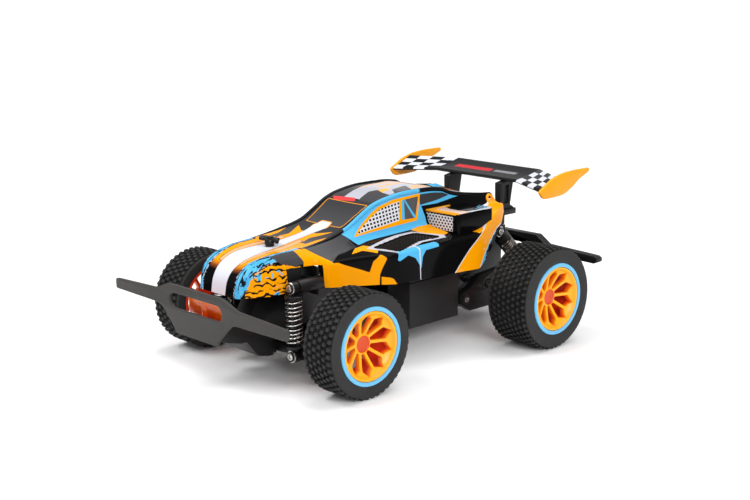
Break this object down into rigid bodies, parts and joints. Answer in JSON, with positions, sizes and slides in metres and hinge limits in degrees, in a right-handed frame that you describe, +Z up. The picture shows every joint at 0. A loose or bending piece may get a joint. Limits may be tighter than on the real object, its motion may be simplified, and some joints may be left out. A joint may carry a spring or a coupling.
{
  "type": "remote control car",
  "caption": "Toy off-road buggy with a printed body shell, rear wing, sprung front arms, a geared rear swing unit and steerable front wheels.",
  "frame": {"origin": "on the ground, under the middle of the car's overall length and width", "axes": "-Y is the way the car drives, +X is the car's left side, +Z is up"},
  "size_m": [0.1562, 0.2226, 0.0849],
  "materials": {
    "black_plastic": "black moulded plastic",
    "board_green": "solder-masked laminate",
    "body_print": "glossy printed polycarbonate in orange, sky blue, black and white",
    "brace_orange": "glossy red-orange plastic",
    "brass": "turned brass",
    "bumper_grey": "matt dark grey plastic",
    "battery_wrap": "blue shrink wrap",
    "motor_can": "zinc-plated steel can",
    "white_nylon": "natural nylon",
    "orange_plastic": "moulded orange plastic",
    "servo_grey": "dark grey plastic",
    "sky_ring": "sky blue",
    "steel": "bright steel",
    "charcoal_plastic": "charcoal moulded plastic",
    "tyre_rubber": "dark grey soft rubber with small lugs",
    "wing_black": null
  },
  "bodies": {
    "chassis": {"chassis_tub": "charcoal_plastic", "chassis_cover": "charcoal_plastic", "battery_door": "charcoal_plastic", "battery_door_screw": "steel", "battery_pack": "battery_wrap", "circuit_board": "board_green", "front_bulkhead": "black_plastic", "front_shock_tower": "black_plastic", "front_bumper": "bumper_grey", "bumper_brace": "brace_orange", "steering_servo": "servo_grey", "body_shell": "body_print", "body_clip": "black_plastic", "rear_frame": "black_plastic", "rear_bumper": "black_plastic", "wing_plane": "wing_black", "wing_post_left": "black_plastic", "wing_post_right": "black_plastic", "wing_endplate_left": "orange_plastic", "wing_endplate_right": "orange_plastic", "shock_body_front_left": "black_plastic", "shock_body_front_right": "black_plastic", "spring_front_left": "steel", "spring_front_right": "steel"},
    "power_switch": {"power_switch": "black_plastic"},
    "steering_link": {"steering_link": "black_plastic"},
    "servo_horn": {"servo_horn": "white_nylon"},
    "rear_swing": {"swing_frame": "black_plastic", "gearbox_case": "black_plastic", "gearbox_cover": "black_plastic", "drive_motor": "motor_can"},
    "rear_axle": {"rear_axle": "steel", "axle_gear": "white_nylon", "tyre_rear_left": "tyre_rubber", "rim_rear_left": "orange_plastic", "bead_ring_rear_left": "sky_ring", "tyre_rear_right": "tyre_rubber", "rim_rear_right": "orange_plastic", "bead_ring_rear_right": "sky_ring"},
    "idler_gear": {"idler_gear": "white_nylon"},
    "motor_pinion": {"motor_pinion": "brass"},
    "front_arm_left": {"front_arm_left": "black_plastic"},
    "knuckle_left": {"knuckle_left": "black_plastic"},
    "front_wheel_left": {"tyre_front_left": "tyre_rubber", "rim_front_left": "orange_plastic", "bead_ring_front_left": "sky_ring"},
    "shock_rod_front_left": {"shock_rod_front_left": "black_plastic"},
    "shock_body_rear_left": {"shock_body_rear_left": "black_plastic", "spring_rear_left": "steel"},
    "shock_rod_rear_left": {"shock_rod_rear_left": "black_plastic"},
    "front_arm_right": {"front_arm_right": "black_plastic"},
    "knuckle_right": {"knuckle_right": "black_plastic"},
    "front_wheel_right": {"tyre_front_right": "tyre_rubber", "rim_front_right": "orange_plastic", "bead_ring_front_right": "sky_ring"},
    "shock_rod_front_right": {"shock_rod_front_right": "black_plastic"},
    "shock_body_rear_right": {"shock_body_rear_right": "black_plastic", "spring_rear_right": "steel"},
    "shock_rod_rear_right": {"shock_rod_rear_right": "black_plastic"}
  },
  "joints": [
    {"name": "front_arm_left_swing", "type": "hinge", "parent": "chassis", "child": "front_arm_left", "pos_m": [0.009, -0.06355, 0.015], "axis": [0, -1, 0], "range_deg": [0, 6], "stiffness_Nm_per_rad": 0.8, "springref_deg": -12.03},
    {"name": "front_arm_right_swing", "type": "hinge", "parent": "chassis", "child": "front_arm_right", "pos_m": [-0.009, -0.06355, 0.015], "axis": [0, 1, 0], "range_deg": [0, 6], "stiffness_Nm_per_rad": 0.8, "springref_deg": -12.03},
    {"name": "steer_left", "type": "hinge", "parent": "front_arm_left", "child": "knuckle_left", "pos_m": [0.042, -0.06355, 0.025], "axis": [0, 0, 1], "range_deg": [-20, 20]},
    {"name": "steer_right", "type": "hinge", "parent": "front_arm_right", "child": "knuckle_right", "pos_m": [-0.042, -0.06355, 0.025], "axis": [0, 0, 1], "range_deg": [-20, 20]},
    {"name": "front_wheel_left_spin", "type": "hinge", "parent": "knuckle_left", "child": "front_wheel_left", "pos_m": [0.05745, -0.06355, 0.025], "axis": [1, 0, 0], "continuous": true},
    {"name": "front_wheel_right_spin", "type": "hinge", "parent": "knuckle_right", "child": "front_wheel_right", "pos_m": [-0.05745, -0.06355, 0.025], "axis": [1, 0, 0], "continuous": true},
    {"name": "steering_link_slide", "type": "slide", "parent": "chassis", "child": "steering_link", "axis": [1, 0, 0], "range_m": [-0.0042, 0.0042]},
    {"name": "servo_horn_turn", "type": "hinge", "parent": "chassis", "child": "servo_horn", "pos_m": [0, -0.0393, 0.022], "axis": [0, 0, 1], "range_deg": [-20, 20]},
    {"name": "front_shock_left_slide", "type": "slide", "parent": "chassis", "child": "shock_rod_front_left", "axis": [0, 0, 1], "range_m": [0, 0.0019], "deforming": ["spring_front_left"]},
    {"name": "front_shock_right_slide", "type": "slide", "parent": "chassis", "child": "shock_rod_front_right", "axis": [0, 0, 1], "range_m": [0, 0.0019], "deforming": ["spring_front_right"]},
    {"name": "rear_swing_pivot", "type": "hinge", "parent": "chassis", "child": "rear_swing", "pos_m": [0, 0.0387, 0.0206], "axis": [1, 0, 0], "range_deg": [0, 8], "stiffness_Nm_per_rad": 2, "springref_deg": -9.74},
    {"name": "rear_axle_spin", "type": "hinge", "parent": "rear_swing", "child": "rear_axle", "pos_m": [0, 0.05695, 0.0262], "axis": [1, 0, 0], "continuous": true},
    {"name": "idler_gear_spin", "type": "hinge", "parent": "rear_swing", "child": "idler_gear", "pos_m": [0.008, 0.06799, 0.0309], "axis": [1, 0, 0], "continuous": true},
    {"name": "motor_pinion_spin", "type": "hinge", "parent": "rear_swing", "child": "motor_pinion", "pos_m": [0.008, 0.07756, 0.03021], "axis": [1, 0, 0], "continuous": true},
    {"name": "rear_shock_left_lean", "type": "hinge", "parent": "chassis", "child": "shock_body_rear_left", "pos_m": [0.034, 0.0604, 0.0543], "axis": [1, 0, 0], "range_deg": [0, 6.07]},
    {"name": "rear_shock_left_slide", "type": "slide", "parent": "shock_body_rear_left", "child": "shock_rod_rear_left", "axis": [0, -0.7205, 0.6935], "range_m": [0, 0.00555], "deforming": ["spring_rear_left"]},
    {"name": "rear_shock_right_lean", "type": "hinge", "parent": "chassis", "child": "shock_body_rear_right", "pos_m": [-0.034, 0.0604, 0.0543], "axis": [1, 0, 0], "range_deg": [0, 6.07]},
    {"name": "rear_shock_right_slide", "type": "slide", "parent": "shock_body_rear_right", "child": "shock_rod_rear_right", "axis": [0, -0.7205, 0.6935], "range_m": [0, 0.00555], "deforming": ["spring_rear_right"]},
    {"name": "power_switch_slide", "type": "slide", "parent": "chassis", "child": "power_switch", "axis": [0, 1, 0], "range_m": [0, 0.003]}
  ],
  "couplings": [
    {"joint": "front_shock_left_slide", "follows": "front_arm_left_swing", "m_per_rad": 0.017967},
    {"joint": "front_shock_right_slide", "follows": "front_arm_right_swing", "m_per_rad": 0.017967},
    {"joint": "steer_right", "follows": "steer_left", "ratio": 1},
    {"joint": "steering_link_slide", "follows": "steer_left", "m_per_rad": -0.0118},
    {"joint": "servo_horn_turn", "follows": "steer_left", "ratio": -1},
    {"joint": "idler_gear_spin", "follows": "rear_axle_spin", "ratio": -2},
    {"joint": "motor_pinion_spin", "follows": "rear_axle_spin", "ratio": 6},
    {"joint": "rear_shock_left_lean", "follows": "rear_swing_pivot", "ratio": 0.75653},
    {"joint": "rear_shock_left_slide", "follows": "rear_swing_pivot", "m_per_rad": 0.039655},
    {"joint": "rear_shock_right_lean", "follows": "rear_swing_pivot", "ratio": 0.75653},
    {"joint": "rear_shock_right_slide", "follows": "rear_swing_pivot", "m_per_rad": 0.039655}
  ]
}
